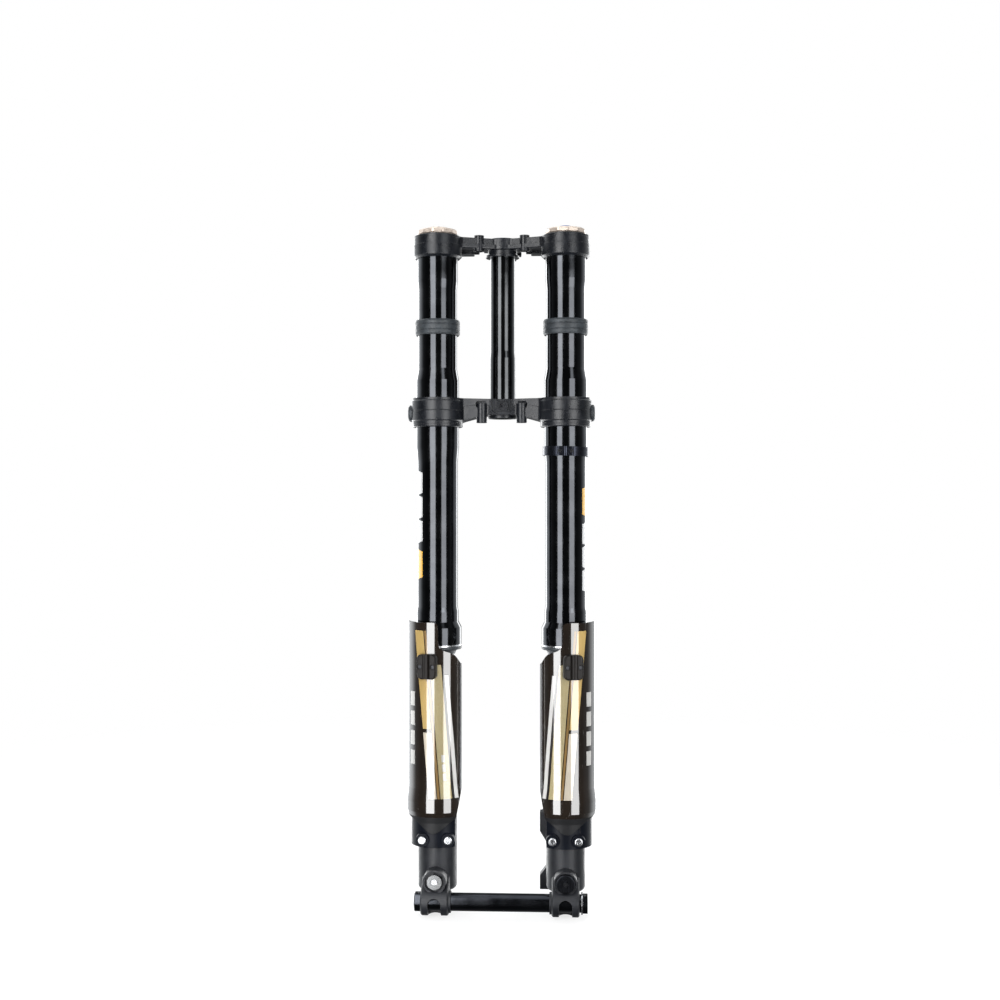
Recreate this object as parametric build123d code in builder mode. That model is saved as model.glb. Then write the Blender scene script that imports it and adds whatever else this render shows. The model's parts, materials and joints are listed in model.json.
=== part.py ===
"""Dual-crown inverted suspension fork for a light electric off-road motorcycle.

Units are millimetres.  +Z points up along the steerer, -Y is the front of the fork and +X is the
right side as seen from the front.  The origin lies on the steerer axis, on top of the lower crown,
where the lower head bearing seats.  "Left" and "right" are as seen from the front.
"""

from build123d import *
from math import asin, atan2, cos, hypot, radians, sin
import os

# ---------------------------------------------------------------- driving dimensions
LEG_X = 73.0  # leg axes to each side of the steerer
LEG_Y = -28.0  # leg axes ahead of the steerer (crown offset)
AXLE_Y = -60.0  # wheel axle, 32 mm ahead of the legs
AXLE_Z = -565.0
HUB_GAP = 110.0  # between the inner faces of the feet
RUNNING_GAP = 0.05  # radial clearance of the sliding and turning fits

STEERER_R = 14.3  # 1 1/8 inch steerer
STEERER_BORE_R = 11.9
STEERER_SEAT_R = 15.0
STEERER_TOP = 184.0
STEERER_BOTTOM = -21.6

UPPER_BOTTOM = 159.0  # upper crown
UPPER_TOP = 184.0
UPPER_CLAMP_TOP = 185.2
LOWER_TOP = 0.0  # lower crown
LOWER_BOTTOM = -33.0
BOLT_SEAT_X = 33.0  # clamp bolts of both crowns, heads toward the steerer
BOLT_LENGTH = 30.0
UPPER_BOLT_Y = 3.0
UPPER_BOLT_Z = 174.6
LOWER_BOLT_Y = 5.0
LOWER_BOLT_HEIGHTS = (-6.6, -15.4)
STEERER_BOLT = (15.0, 24.0, 175.0)
LOCK_SCREW_Z = -8.0
BUMPER_SEAT_X = 101.0  # steering stop bumpers on the outer sides
BUMPER_Z = -17.0
BUMPER_R = 9.5
RISER_X = 26.0  # handlebar riser holes
RISER_Y = -20.0
RISER_TOP = 187.0
FENDER_X = 22.8  # mudguard holes
FENDER_Y = -24.0
FENDER_Z = -27.6

TUBE_TOP = 185.6  # outer tubes
TUBE_BOTTOM = -279.6
TUBE_BORE_R = 19.3
TUBE_UPPER_R = 23.0
TUBE_WAIST_R = 22.1
TUBE_CLAMP_R = 24.4
TUBE_HOUSING_R = 27.2
CAP_FLANGE_TOP = 191.8
ADJUSTER_GAP = 0.1  # under the heads of the adjusters

BUSH_SEAT_R = 20.3  # bushing and seals in the tube mouth
BUSH_TOP = -236.0
SEAL_SEAT_R = 24.0
SEAL_TOP = -262.0
WASHER_BOTTOM = -263.2
CIRCLIP_TOP = -271.6
CIRCLIP_BOTTOM = -273.0
CIRCLIP_DEPTH = 0.8

HOSE_CLAMP_Z = -60.7
HOSE_SCREW_X = 6.6

STANCHION_R = 18.5  # inner tubes
STANCHION_BORE_R = 16.5
STANCHION_TOP = -20.0
STANCHION_BOTTOM = -545.0

FOOT_R = 22.0  # feet
FOOT_TOP = -475.0
FOOT_BOTTOM = -558.0
CLAMP_WIDTH = 31.0
CLAMP_R = 15.0
CLAMP_BOTTOM = -581.5
WINDOW_WIDTH = 14.7
AXLE_R = 10.0
BOSS_Z = -541.5
BOSS_FRONT = 40.0  # front face of the round boss ahead of the leg axis
BOSS_RECESS = 3.0
BOSS_SHANK_END = 20.0
BOSS_BORE_R = {-1: 5.0, 1: 4.05}  # foot bolt on the left, knob stem on the right
BLEED_R = 1.5
KNOB_FRONT = 43.1
FOOT_SCREW_PLACES = [(-9.5, -16.0), (9.5, -16.0)]  # from the leg axis
FOOT_SCREW_SEAT = 5.6
FOOT_SCREW_END = -551.0
CALIPER_HOLES = [(-22.2, -479.8), (-22.2, -554.0)]  # from the right leg axis; 74.2 mm post mount
CALIPER_FACE = 34.0  # behind the leg axis

GUARD_R = 34.0
GUARD_WALL = 2.6
GUARD_TOP = -253.0
MOUNT_R = 30.0  # moulded guard mount
MOUNT_WALL = 3.0
MOUNT_TOP = -474.0
MOUNT_BOTTOM = -506.0
MOUNT_BOSS = 31.4  # faces of its bolt bosses, ahead of the leg axis
GUARD_BOLTS = [(-14.6, -497.0), (14.6, -497.0)]
GUARD_BOLT_R = 3.0
GUARD_BOLT_END = 16.0
GUIDE_ANGLE = 14.0  # hose guide, turned outward from the front
GUIDE_Z = -302.0
GUIDE_HOLE_X = 7.4

SPRING_BOTTOM = -470.0
SPRING_TOP = -140.0
SPRING_TURNS = 18
SPRING_WIRE_R = 2.25
SPRING_MEAN_R = 13.0
SPACER_TOP = 150.0
PRELOAD_STEM_R = 6.0
PRELOAD_STEM_END = 128.0

CARTRIDGE_R = 14.0  # damper
CARTRIDGE_BORE_R = 12.5
CARTRIDGE_BOTTOM = -185.0
CAP_PLUG_BOTTOM = 168.0
DAMPER_ROD_R = 5.0
PISTON_BOTTOM = -140.0
PISTON_TOP = -126.0

AXLE_LEFT = -88.5  # outer face of the left foot
AXLE_RIGHT = 92.0  # underside of the axle head
AXLE_SPIGOT_R = 6.0

SIDES = {"left": -1, "right": 1}

os.makedirs("parts", exist_ok=True)


# ---------------------------------------------------------------- helpers
def save(piece, name):
    """Label a finished piece and write it."""
    piece.part.label = name
    export_step(piece.part, f"parts/{name}.step")


def leg_axis(side):
    return Axis((side * LEG_X, LEG_Y, 0), (0, 0, 1))


def leg_front(side, ahead=0.0):
    """Plane facing the front, through the leg axis or `ahead` of it; local y is global Z."""
    return Plane(origin=(side * LEG_X, LEG_Y - ahead, 0), x_dir=(1, 0, 0), z_dir=(0, -1, 0))


def leg_plan(side, height):
    """Plane facing up, centred on a leg axis; local y is global Y."""
    return Plane(origin=(side * LEG_X, LEG_Y, height), x_dir=(1, 0, 0), z_dir=(0, 0, 1))


def facing_side(x, y=0.0, z=0.0, direction=1):
    """Plane at x facing along +X or -X; local x is global Y times `direction`, local y is Z."""
    return Plane(origin=(x, y, z), x_dir=(0, direction, 0), z_dir=(direction, 0, 0))


def turned(side, outline):
    """Solid of revolution about a leg axis, from (radius, height) points."""
    with BuildPart() as piece:
        with BuildSketch(leg_front(side)):
            Polygon(*outline, align=None)
        revolve(axis=leg_axis(side))
    return piece


def ring(side, inner, outer, bottom, top):
    """Plain ring on a leg axis."""
    return turned(side, [(inner, bottom), (outer, bottom), (outer, top), (inner, top)])


def pair(make):
    """The same piece on both legs, kept as two separate solids of one node."""
    left = make(-1)
    right = make(1)
    with BuildPart() as both:
        add(left.part)
        add(right.part)
    return both


def cap_screws(places, direction, head_r, head_h, shank_r, length, socket_r):
    """Socket-head screws whose heads point along `direction` and sit on `places`."""
    with BuildPart() as screws:
        for place in places:
            seat = Plane(origin=place, z_dir=direction)
            with BuildSketch(seat):
                Circle(head_r)
            extrude(amount=head_h)
            chamfer(screws.faces(Select.LAST).sort_by(Axis(place, direction))[-1].edges(), 0.5)
            with BuildSketch(seat.offset(head_h)):
                RegularPolygon(socket_r, 6)
            extrude(amount=-0.6 * head_h, mode=Mode.SUBTRACT)
            with BuildSketch(seat):
                Circle(shank_r)
            extrude(amount=-length)
    return screws


# ---------------------------------------------------------------- steerer and crowns
def steerer_tube():
    outline = [
        (STEERER_BORE_R, STEERER_BOTTOM),
        (STEERER_R, STEERER_BOTTOM),
        (STEERER_R, LOWER_TOP),
        (STEERER_SEAT_R, LOWER_TOP),
        (STEERER_SEAT_R, 48.0),
        (STEERER_R, 56.0),
        (STEERER_R, STEERER_TOP),
        (STEERER_BORE_R, STEERER_TOP),
    ]
    with BuildPart() as tube:
        with BuildSketch(Plane.XZ):
            Polygon(*outline, align=None)
        revolve(axis=Axis.Z)
    return tube


def steerer_top_cap():
    """Flanged plug that closes the steerer, with a hex socket."""
    with BuildPart() as cap:
        with BuildSketch(Plane.XY.offset(STEERER_TOP - 12)):
            Circle(STEERER_BORE_R)
        extrude(amount=12)
        with BuildSketch(Plane.XY.offset(STEERER_TOP)):
            Circle(16.5)
        extrude(amount=1.6)
        chamfer(cap.faces().sort_by(Axis.Z)[-1].edges(), 0.6)
        with BuildSketch(Plane.XY.offset(STEERER_TOP + 1.6)):
            RegularPolygon(3.5, 6)
        extrude(amount=-6, mode=Mode.SUBTRACT)
    return cap


def arm_corners(side, root_r, tip_r):
    """Corners of an arm tapering from a circle on the steerer to a circle on a leg."""
    reach = hypot(LEG_X, LEG_Y)
    lean = asin((root_r - tip_r) / reach)
    heading = atan2(LEG_Y, LEG_X)
    corners = []
    for turn, radius, x, y in (
        (90, root_r, 0, 0),
        (90, tip_r, LEG_X, LEG_Y),
        (-90, tip_r, LEG_X, LEG_Y),
        (-90, root_r, 0, 0),
    ):
        angle = heading + radians(turn) - lean * (1 if turn > 0 else -1)
        corners.append((side * (x + radius * cos(angle)), y + radius * sin(angle)))
    return corners


def crown_deck(root_r, tip_r, boss_r, clamp_r, elevation, blend=6.0):
    """Arms, steerer boss and clamp discs in plan, trimmed to an elevation outline.

    The plan's inner corners are rounded by growing and shrinking the outline.
    """
    heights = [z for _, z in elevation]
    with BuildPart() as deck:
        with BuildSketch(Plane.XY.offset(min(heights))):
            Circle(boss_r)
            for side in SIDES.values():
                Polygon(*arm_corners(side, root_r, tip_r), align=None)
                with Locations((side * LEG_X, LEG_Y)):
                    Circle(clamp_r)
            offset(amount=blend)
            offset(amount=-blend)
        extrude(amount=max(heights) - min(heights))
        with BuildSketch(Plane.XZ):
            Polygon(*elevation, *[(-x, z) for x, z in reversed(elevation) if x > 0], align=None)
        extrude(amount=120, both=True, mode=Mode.INTERSECT)
    return deck


def slab(bottom, top):
    """Elevation outline of a flat layer, right half."""
    return [(0, bottom), (100, bottom), (100, top), (0, top)]


def upper_crown():
    """Shallow beam with a raised deck, leg clamps, riser bosses and clamp ears."""
    ear_bottom = 168.4
    beam_bottom = 171.8
    deck_bottom = 177.0
    riser_bottom = 169.0
    steerer_ear_bottom = 166.0
    boss_r = 20.0
    beam = crown_deck(15.5, 13.5, boss_r, 27.0, slab(beam_bottom, deck_bottom))
    deck = crown_deck(14.0, 12.0, boss_r, 27.0, slab(deck_bottom, UPPER_TOP))
    with BuildPart() as crown:
        add(beam.part)
        fillet(crown.faces().sort_by(Axis.Z)[0].edges(), 1.5)
        add(deck.part)
        # neck below the steerer boss, and its flange
        for radius, bottom, top in ((17.0, 166.9, 173.3), (19.3, 164.5, 166.9)):
            with BuildSketch(Plane.XY.offset(bottom)):
                Circle(radius)
            extrude(amount=top - bottom)
        # leg clamps: stepped band, wide top chamfer
        for side in SIDES.values():
            with BuildSketch(leg_front(side)):
                Polygon(
                    (0, UPPER_BOTTOM), (25.1, UPPER_BOTTOM), (27.6, UPPER_BOTTOM + 2.5), (27.6, 174.0),
                    (27.1, 174.0), (27.1, 181.4), (23.6, UPPER_CLAMP_TOP), (0, UPPER_CLAMP_TOP),
                    align=None,
                )
            revolve(axis=leg_axis(side))
            # clamp ears behind the arm, on the inner side of the slit
            with BuildSketch(Plane.XY.offset(ear_bottom)):
                with Locations((side * (LEG_X - 22.5), LEG_Y + 28.5)):
                    RectangleRounded(35, 17, 2)
            extrude(amount=UPPER_TOP - ear_bottom)
            # handlebar riser bosses
            with BuildSketch(Plane.XY.offset(riser_bottom)):
                with Locations((side * RISER_X, RISER_Y)):
                    Circle(5.8)
            extrude(amount=RISER_TOP - riser_bottom)
        # rear ears of the steerer clamp
        with BuildSketch(Plane.XY.offset(steerer_ear_bottom)):
            with Locations((0, 20.0)):
                RectangleRounded(30, 20, 3)
        extrude(amount=UPPER_TOP - steerer_ear_bottom)
        # bores
        with Locations((0, 0, UPPER_TOP)):
            Hole(STEERER_R)
        for side in SIDES.values():
            with Locations((side * LEG_X, LEG_Y, UPPER_CLAMP_TOP)):
                Hole(TUBE_UPPER_R)
            with Locations((side * RISER_X, RISER_Y, RISER_TOP)):
                Hole(4.1)
            # clamp slit, the pocket for the bolt head, and the bolt hole from inside the pocket
            with BuildSketch(Plane.XY.offset(UPPER_BOTTOM)):
                with Locations((side * (LEG_X - 14), LEG_Y + 25)):
                    Rectangle(2, 30)
            extrude(amount=30, mode=Mode.SUBTRACT)
            with BuildSketch(facing_side(side * BOLT_SEAT_X, UPPER_BOLT_Y, UPPER_BOLT_Z, -side)):
                Circle(5.8)
            extrude(amount=11.3, mode=Mode.SUBTRACT)
            with BuildSketch(facing_side(side * (BOLT_SEAT_X - 4), UPPER_BOLT_Y, UPPER_BOLT_Z, -side)):
                Circle(3.0)
            extrude(amount=-BOLT_LENGTH - 4, mode=Mode.SUBTRACT)
        with BuildSketch(Plane.XY.offset(UPPER_BOTTOM)):
            with Locations((0, 22)):
                Rectangle(2, 24)
        extrude(amount=30, mode=Mode.SUBTRACT)
        with BuildSketch(facing_side(*STEERER_BOLT)):
            Circle(3.0)
        extrude(amount=-BOLT_LENGTH, mode=Mode.SUBTRACT)
    return crown


def lower_crown():
    """Deep web under a stepped deck, with leg clamps, mudguard bosses and bumper seats."""
    bottom_line = [(0, -18.2), (17, -18.2), (30, -21.5), (42.6, -25.2), (52, -29.2), (100, -30)]
    deck_line = [(0, -7.4), (30, -7.4), (42, -9.4), (52, -13.0), (100, -14.0)]
    web = crown_deck(17.0, 15.0, 17.0, 29.0, bottom_line + [(100, -1), (0, -1)])
    deck = crown_deck(18.0, 16.0, 18.0, 29.0, deck_line + [(100, 0), (0, 0)])
    with BuildPart() as crown:
        add(web.part)
        add(deck.part)
        with BuildSketch(Plane.XY.offset(STEERER_BOTTOM)):
            Circle(17.0)
        extrude(amount=-STEERER_BOTTOM)
        # flat front pad ahead of the steerer
        with BuildSketch(Plane.XY.offset(-18.2)):
            with Locations((0, -17.5)):
                Rectangle(30, 13)
        extrude(amount=18.2)
        for side in SIDES.values():
            with BuildSketch(leg_front(side)):
                Polygon(
                    (0, LOWER_BOTTOM), (27.8, LOWER_BOTTOM), (28.6, LOWER_BOTTOM + 0.8), (28.6, -26.6),
                    (30, -25.2), (30, -14.8), (29.5, -14.3), (30, -13.8), (30, -3.6), (26.4, 0),
                    (0, 0), align=None,
                )
            revolve(axis=leg_axis(side))
            with BuildSketch(Plane.XY.offset(-20.0)):
                with Locations((side * (LEG_X - 22.5), LEG_Y + 30)):
                    RectangleRounded(35, 18, 3)
            extrude(amount=18.0)
            # mudguard bosses, and the recess above each
            with BuildSketch(Plane.XZ.offset(-FENDER_Y + 1.5)):
                with Locations((side * FENDER_X, -6.8)):
                    RectangleRounded(13, 8, 3)
            extrude(amount=12, mode=Mode.SUBTRACT)
            with BuildSketch(Plane.XY.offset(FENDER_Z)):
                with Locations((side * FENDER_X, FENDER_Y)):
                    Circle(6.0)
            extrude(amount=22.1)
        # pocket with a raised pad for the steerer lock screw
        with BuildSketch(Plane.XZ.offset(24)):
            with Locations((0, -6.0)):
                RectangleRounded(23, 18.4, 3.5)
        extrude(amount=-2.6, mode=Mode.SUBTRACT)
        with BuildSketch(Plane.XZ.offset(21.4)):
            with Locations((0, LOCK_SCREW_Z)):
                RectangleRounded(13.8, 9.6, 2.5)
        extrude(amount=2.0)
        with BuildSketch(Plane.XZ.offset(24)):
            with Locations((0, LOCK_SCREW_Z)):
                Circle(3.0)
        extrude(amount=-12, mode=Mode.SUBTRACT)
        # bores
        with Locations((0, 0, 0)):
            Hole(STEERER_R)
        for side in SIDES.values():
            with Locations((side * LEG_X, LEG_Y, 0)):
                Hole(TUBE_CLAMP_R)
            with BuildSketch(Plane.XY.offset(FENDER_Z)):
                with Locations((side * FENDER_X, FENDER_Y)):
                    Circle(2.5)
            extrude(amount=16, mode=Mode.SUBTRACT)
            with BuildSketch(Plane.XY.offset(LOWER_BOTTOM)):
                with Locations((side * (LEG_X - 14), LEG_Y + 27)):
                    Rectangle(2, 34)
            extrude(amount=34, mode=Mode.SUBTRACT)
            for height in LOWER_BOLT_HEIGHTS:
                with BuildSketch(facing_side(side * BOLT_SEAT_X, LOWER_BOLT_Y, height, -side)):
                    Circle(2.5)
                extrude(amount=-BOLT_LENGTH, mode=Mode.SUBTRACT)
                with BuildSketch(facing_side(side * BOLT_SEAT_X, LOWER_BOLT_Y, height, -side)):
                    Circle(4.9)
                extrude(amount=13, mode=Mode.SUBTRACT)
            # seat of the steering stop bumper
            with BuildSketch(facing_side(side * BUMPER_SEAT_X, LEG_Y, BUMPER_Z, side)):
                Circle(BUMPER_R + 0.1)
            extrude(amount=6, mode=Mode.SUBTRACT)
    return crown


def crown_screws():
    """Clamp screws of both crowns; their heads face the middle of the fork."""
    groups = {"upper_crown_pinch_bolts": [], "lower_crown_pinch_bolts": []}
    for side in SIDES.values():
        inward = (-side, 0, 0)
        seat = side * BOLT_SEAT_X
        upper = [(seat, UPPER_BOLT_Y, UPPER_BOLT_Z)]
        lower = [(seat, LOWER_BOLT_Y, height) for height in LOWER_BOLT_HEIGHTS]
        groups["upper_crown_pinch_bolts"].append(cap_screws(upper, inward, 5, 6, 3, BOLT_LENGTH, 2.9))
        groups["lower_crown_pinch_bolts"].append(cap_screws(lower, inward, 4.25, 5, 2.5, BOLT_LENGTH, 2.3))
    for name, members in groups.items():
        with BuildPart() as group:
            for member in members:
                add(member.part)
        save(group, name)
    save(cap_screws([STEERER_BOLT], (1, 0, 0), 5, 6, 3, BOLT_LENGTH - 2, 2.9), "steerer_pinch_bolt")


def steerer_lock_screw():
    """Set screw in the front of the lower crown that bears on the steerer."""
    with BuildPart() as screw:
        with BuildSketch(Plane.XZ.offset(STEERER_R + 0.1)):
            with Locations((0, LOCK_SCREW_Z)):
                Circle(3.0)
        extrude(amount=6.5)
        with BuildSketch(Plane.XZ.offset(STEERER_R + 6.6)):
            with Locations((0, LOCK_SCREW_Z)):
                RegularPolygon(1.7, 6)
        extrude(amount=-3, mode=Mode.SUBTRACT)
    return screw


def stop_bumper(side):
    """Rubber dome on the outer side of a lower crown clamp."""
    with BuildPart() as bumper:
        with BuildSketch(facing_side(side * BUMPER_SEAT_X, LEG_Y, BUMPER_Z, side)):
            Circle(BUMPER_R)
        extrude(amount=5.2)
        fillet(bumper.faces().sort_by(Axis.X)[0 if side < 0 else -1].edges(), 2.8)
    return bumper


# ---------------------------------------------------------------- upper legs
TUBE_OUTSIDE = [
    (TUBE_UPPER_R, TUBE_TOP),
    (TUBE_UPPER_R, 134.0),
    (TUBE_WAIST_R, 123.7),
    (TUBE_WAIST_R, 33.6),
    (TUBE_CLAMP_R, 20.5),
    (TUBE_CLAMP_R, -55.3),
    (TUBE_UPPER_R, -72.4),
    (TUBE_UPPER_R, -237.1),
    (24.0, -242.3),
    (24.0, -253.7),
    (TUBE_HOUSING_R, -260.1),
    (TUBE_HOUSING_R, TUBE_BOTTOM),
]


def outer_tube(side):
    """Tapered tube with a bore stepped for the bushing, the seal and its circlip."""
    bore = [
        (SEAL_SEAT_R, TUBE_BOTTOM),
        (SEAL_SEAT_R, CIRCLIP_BOTTOM),
        (SEAL_SEAT_R + CIRCLIP_DEPTH, CIRCLIP_BOTTOM),
        (SEAL_SEAT_R + CIRCLIP_DEPTH, CIRCLIP_TOP),
        (SEAL_SEAT_R, CIRCLIP_TOP),
        (SEAL_SEAT_R, SEAL_TOP),
        (BUSH_SEAT_R, SEAL_TOP),
        (BUSH_SEAT_R, BUSH_TOP),
        (TUBE_BORE_R, BUSH_TOP),
        (TUBE_BORE_R, TUBE_TOP),
    ]
    return turned(side, TUBE_OUTSIDE + bore)


def lower_bushing(side):
    return ring(side, STANCHION_R + RUNNING_GAP, BUSH_SEAT_R, SEAL_TOP, BUSH_TOP)


def seal_washer(side):
    return ring(side, STANCHION_R + 0.5, SEAL_SEAT_R, WASHER_BOTTOM, SEAL_TOP)


def oil_seal(side):
    """Lip seal under the washer."""
    top = WASHER_BOTTOM
    lip = STANCHION_R + RUNNING_GAP
    outline = [
        (lip, top - 2.2), (lip + 1.6, top), (SEAL_SEAT_R, top), (SEAL_SEAT_R, CIRCLIP_TOP),
        (lip + 1.6, CIRCLIP_TOP), (lip, CIRCLIP_TOP + 1.5), (lip + 1.4, CIRCLIP_TOP + 4),
    ]
    return turned(side, outline)


def seal_circlip(side):
    return ring(side, SEAL_SEAT_R - 2.2, SEAL_SEAT_R + CIRCLIP_DEPTH, CIRCLIP_BOTTOM, CIRCLIP_TOP)


def dust_wiper(side):
    """Rubber wiper pressed into the tube mouth, with a lip below it."""
    lip = STANCHION_R + RUNNING_GAP
    outline = [
        (lip, -290.8), (20.0, -290.8), (21.2, -287.4), (22.7, -286.0), (26.6, -285.2), (27.4, -284.2),
        (27.4, -282.0), (26.9, -281.4), (25.0, -281.4), (25.0, TUBE_BOTTOM),
        (SEAL_SEAT_R, TUBE_BOTTOM), (SEAL_SEAT_R, CIRCLIP_BOTTOM), (lip + 1.5, CIRCLIP_BOTTOM),
        (lip + 1.5, -287.0), (lip, -288.6),
    ]
    return turned(side, outline)


def wiper_band(side):
    """Bright steel band between the tube and the wiper lip."""
    return ring(side, 25.0, 27.2, -281.4, TUBE_BOTTOM)


def frame_bumper(side):
    """Rubber ring that meets the frame at full steering lock; two shallow grooves."""
    inner = TUBE_WAIST_R
    outline = [
        (inner, 71.6), (24.4, 71.6), (25.4, 73.4), (25.4, 76.4), (24.9, 76.8), (24.9, 77.4), (25.4, 77.8),
        (25.4, 82.7), (24.9, 83.1), (24.9, 83.7), (25.4, 84.1), (25.4, 87.1), (24.4, 88.9), (inner, 88.9),
    ]
    return turned(side, outline)


def top_cap(side, stem_r, turn):
    """Threaded plug with a twelve-sided flange, chamfered above and below."""
    bore = stem_r + RUNNING_GAP
    flange = [
        (0, TUBE_TOP), (20.8, TUBE_TOP), (22.8, 187.3), (22.8, 190.2), (21.2, CAP_FLANGE_TOP),
        (0, CAP_FLANGE_TOP),
    ]
    plug = [
        (0, CAP_PLUG_BOTTOM), (TUBE_BORE_R - 1, CAP_PLUG_BOTTOM), (TUBE_BORE_R, CAP_PLUG_BOTTOM + 1),
        (TUBE_BORE_R, 175.0), (17.6, 175.0), (17.6, 176.8), (TUBE_BORE_R, 176.8), (TUBE_BORE_R, TUBE_TOP),
        (0, TUBE_TOP),
    ]
    with BuildPart() as cap:
        with BuildSketch(leg_plan(side, TUBE_TOP)):
            RegularPolygon(23.0, 12, rotation=turn)
        extrude(amount=CAP_FLANGE_TOP - TUBE_TOP)
        with BuildSketch(leg_front(side)):
            Polygon(*flange, align=None)
        revolve(axis=leg_axis(side), mode=Mode.INTERSECT)
        with BuildSketch(leg_front(side)):
            Polygon(*plug, align=None)
        revolve(axis=leg_axis(side))
        with Locations((side * LEG_X, LEG_Y, CAP_FLANGE_TOP)):
            Hole(bore)
    return cap


def o_ring(side):
    with BuildPart() as seal:
        with BuildSketch(leg_front(side)):
            with Locations((18.45, 175.9)):
                Circle(0.84)
        revolve(axis=leg_axis(side))
    return seal


def hose_clamp(side):
    """Band around the outer tube with a saddle for a hose on its front, tipped slightly."""
    lean = side * radians(1.5)
    tip = Plane(
        origin=(side * LEG_X, LEG_Y, HOSE_CLAMP_Z), x_dir=(cos(lean), 0, -sin(lean)),
        z_dir=(sin(lean), 0, cos(lean)),
    )
    with BuildPart() as band:
        with BuildSketch(tip.offset(-5.3)):
            Circle(26.0)
            with Locations((0, -22)):
                RectangleRounded(18.4, 14, 2)
        extrude(amount=10.6)
        with BuildSketch(tip.offset(-6)):
            with Locations((0, -30.5)):
                Circle(3.1)
        extrude(amount=12, mode=Mode.SUBTRACT)
        with BuildSketch(leg_front(side)):
            Polygon((0, TUBE_TOP), *TUBE_OUTSIDE, (0, TUBE_BOTTOM), align=None)
        revolve(axis=leg_axis(side), mode=Mode.SUBTRACT)
        with BuildSketch(leg_front(side, 30)):
            with Locations((-HOSE_SCREW_X, HOSE_CLAMP_Z), (HOSE_SCREW_X, HOSE_CLAMP_Z)):
                Circle(1.25)
        extrude(amount=-4.5, mode=Mode.SUBTRACT)
    return band


def hose_clamp_screws(side):
    places = [(side * LEG_X + x, LEG_Y - 29, HOSE_CLAMP_Z) for x in (-HOSE_SCREW_X, HOSE_SCREW_X)]
    return cap_screws(places, (0, -1, 0), 2.2, 1.4, 1.25, 3.4, 1.1)


# ---------------------------------------------------------------- spring leg (left)
def main_spring():
    """Coil spring with ground ends."""
    length = SPRING_TOP - SPRING_BOTTOM
    with BuildPart() as spring:
        with BuildLine(leg_plan(-1, SPRING_BOTTOM + SPRING_WIRE_R * 0.5)) as path:
            Helix((length - SPRING_WIRE_R) / SPRING_TURNS, length - SPRING_WIRE_R, SPRING_MEAN_R)
        with BuildSketch(Plane(origin=path.line @ 0, z_dir=path.line % 0)):
            Circle(SPRING_WIRE_R)
        sweep(path=path.line)
        with BuildSketch(leg_plan(-1, SPRING_BOTTOM)):
            Circle(STANCHION_BORE_R - 0.5)
        extrude(amount=length, mode=Mode.INTERSECT)
    return spring


def spring_seat():
    """Turned column under the spring, standing on the floor of the foot."""
    outline = [
        (0, STANCHION_BOTTOM), (16.4, STANCHION_BOTTOM), (16.4, -540.0), (9.0, -537.0), (9.0, -482.0),
        (16.0, -476.0), (16.0, SPRING_BOTTOM), (10.2, SPRING_BOTTOM), (9.2, -458.0), (0, -458.0),
    ]
    return turned(-1, outline)


def preload_spacer():
    """Tube that presses on the spring, with the adjuster's nut in its top."""
    outline = [
        (13.0, SPRING_TOP), (15.5, SPRING_TOP), (15.5, SPACER_TOP),
        (PRELOAD_STEM_R + RUNNING_GAP, SPACER_TOP), (PRELOAD_STEM_R + RUNNING_GAP, SPACER_TOP - 12),
        (13.0, SPACER_TOP - 16),
    ]
    return turned(-1, outline)


def preload_adjuster():
    """Twelve-sided head with a hexagon socket."""
    seat = CAP_FLANGE_TOP + ADJUSTER_GAP
    thickness = 2.4
    with BuildPart() as adjuster:
        with BuildSketch(leg_plan(-1, seat)):
            RegularPolygon(13.2, 12, rotation=6)
        extrude(amount=thickness)
        chamfer(adjuster.faces().sort_by(Axis.Z)[-1].edges(), 0.6)
        with BuildSketch(leg_plan(-1, seat + thickness)):
            RegularPolygon(4.6, 6)
        extrude(amount=-1.6, mode=Mode.SUBTRACT)
    return adjuster


def preload_screw():
    """Threaded stem from the adjuster's head through the cap into the spacer's nut."""
    top = CAP_FLANGE_TOP + ADJUSTER_GAP
    with BuildPart() as screw:
        with BuildSketch(leg_plan(-1, PRELOAD_STEM_END)):
            Circle(PRELOAD_STEM_R)
        extrude(amount=top - PRELOAD_STEM_END)
    return screw


# ---------------------------------------------------------------- damper leg (right)
def damper_cartridge():
    return ring(1, CARTRIDGE_BORE_R, CARTRIDGE_R, CARTRIDGE_BOTTOM, CAP_PLUG_BOTTOM)


def damper_seal_head():
    bore = DAMPER_ROD_R + RUNNING_GAP
    return ring(1, bore, CARTRIDGE_BORE_R, CARTRIDGE_BOTTOM, CARTRIDGE_BOTTOM + 20)


def damper_rod():
    """Rod with a foot that stands on the floor of the casting."""
    outline = [
        (0, STANCHION_BOTTOM), (12.0, STANCHION_BOTTOM), (12.0, -538.0), (DAMPER_ROD_R, -534.0),
        (DAMPER_ROD_R, PISTON_TOP + 4), (0, PISTON_TOP + 4),
    ]
    return turned(1, outline)


def damper_piston():
    """Piston with a ring of oil ports."""
    with BuildPart() as piston:
        with BuildSketch(leg_plan(1, PISTON_BOTTOM)):
            Circle(CARTRIDGE_BORE_R - RUNNING_GAP)
            Circle(DAMPER_ROD_R, mode=Mode.SUBTRACT)
            with PolarLocations(8.6, 6):
                Circle(1.4, mode=Mode.SUBTRACT)
        extrude(amount=PISTON_TOP - PISTON_BOTTOM)
    return piston


def top_out_bumper():
    return ring(1, DAMPER_ROD_R, 9.0, PISTON_BOTTOM - 8, PISTON_BOTTOM)


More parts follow.
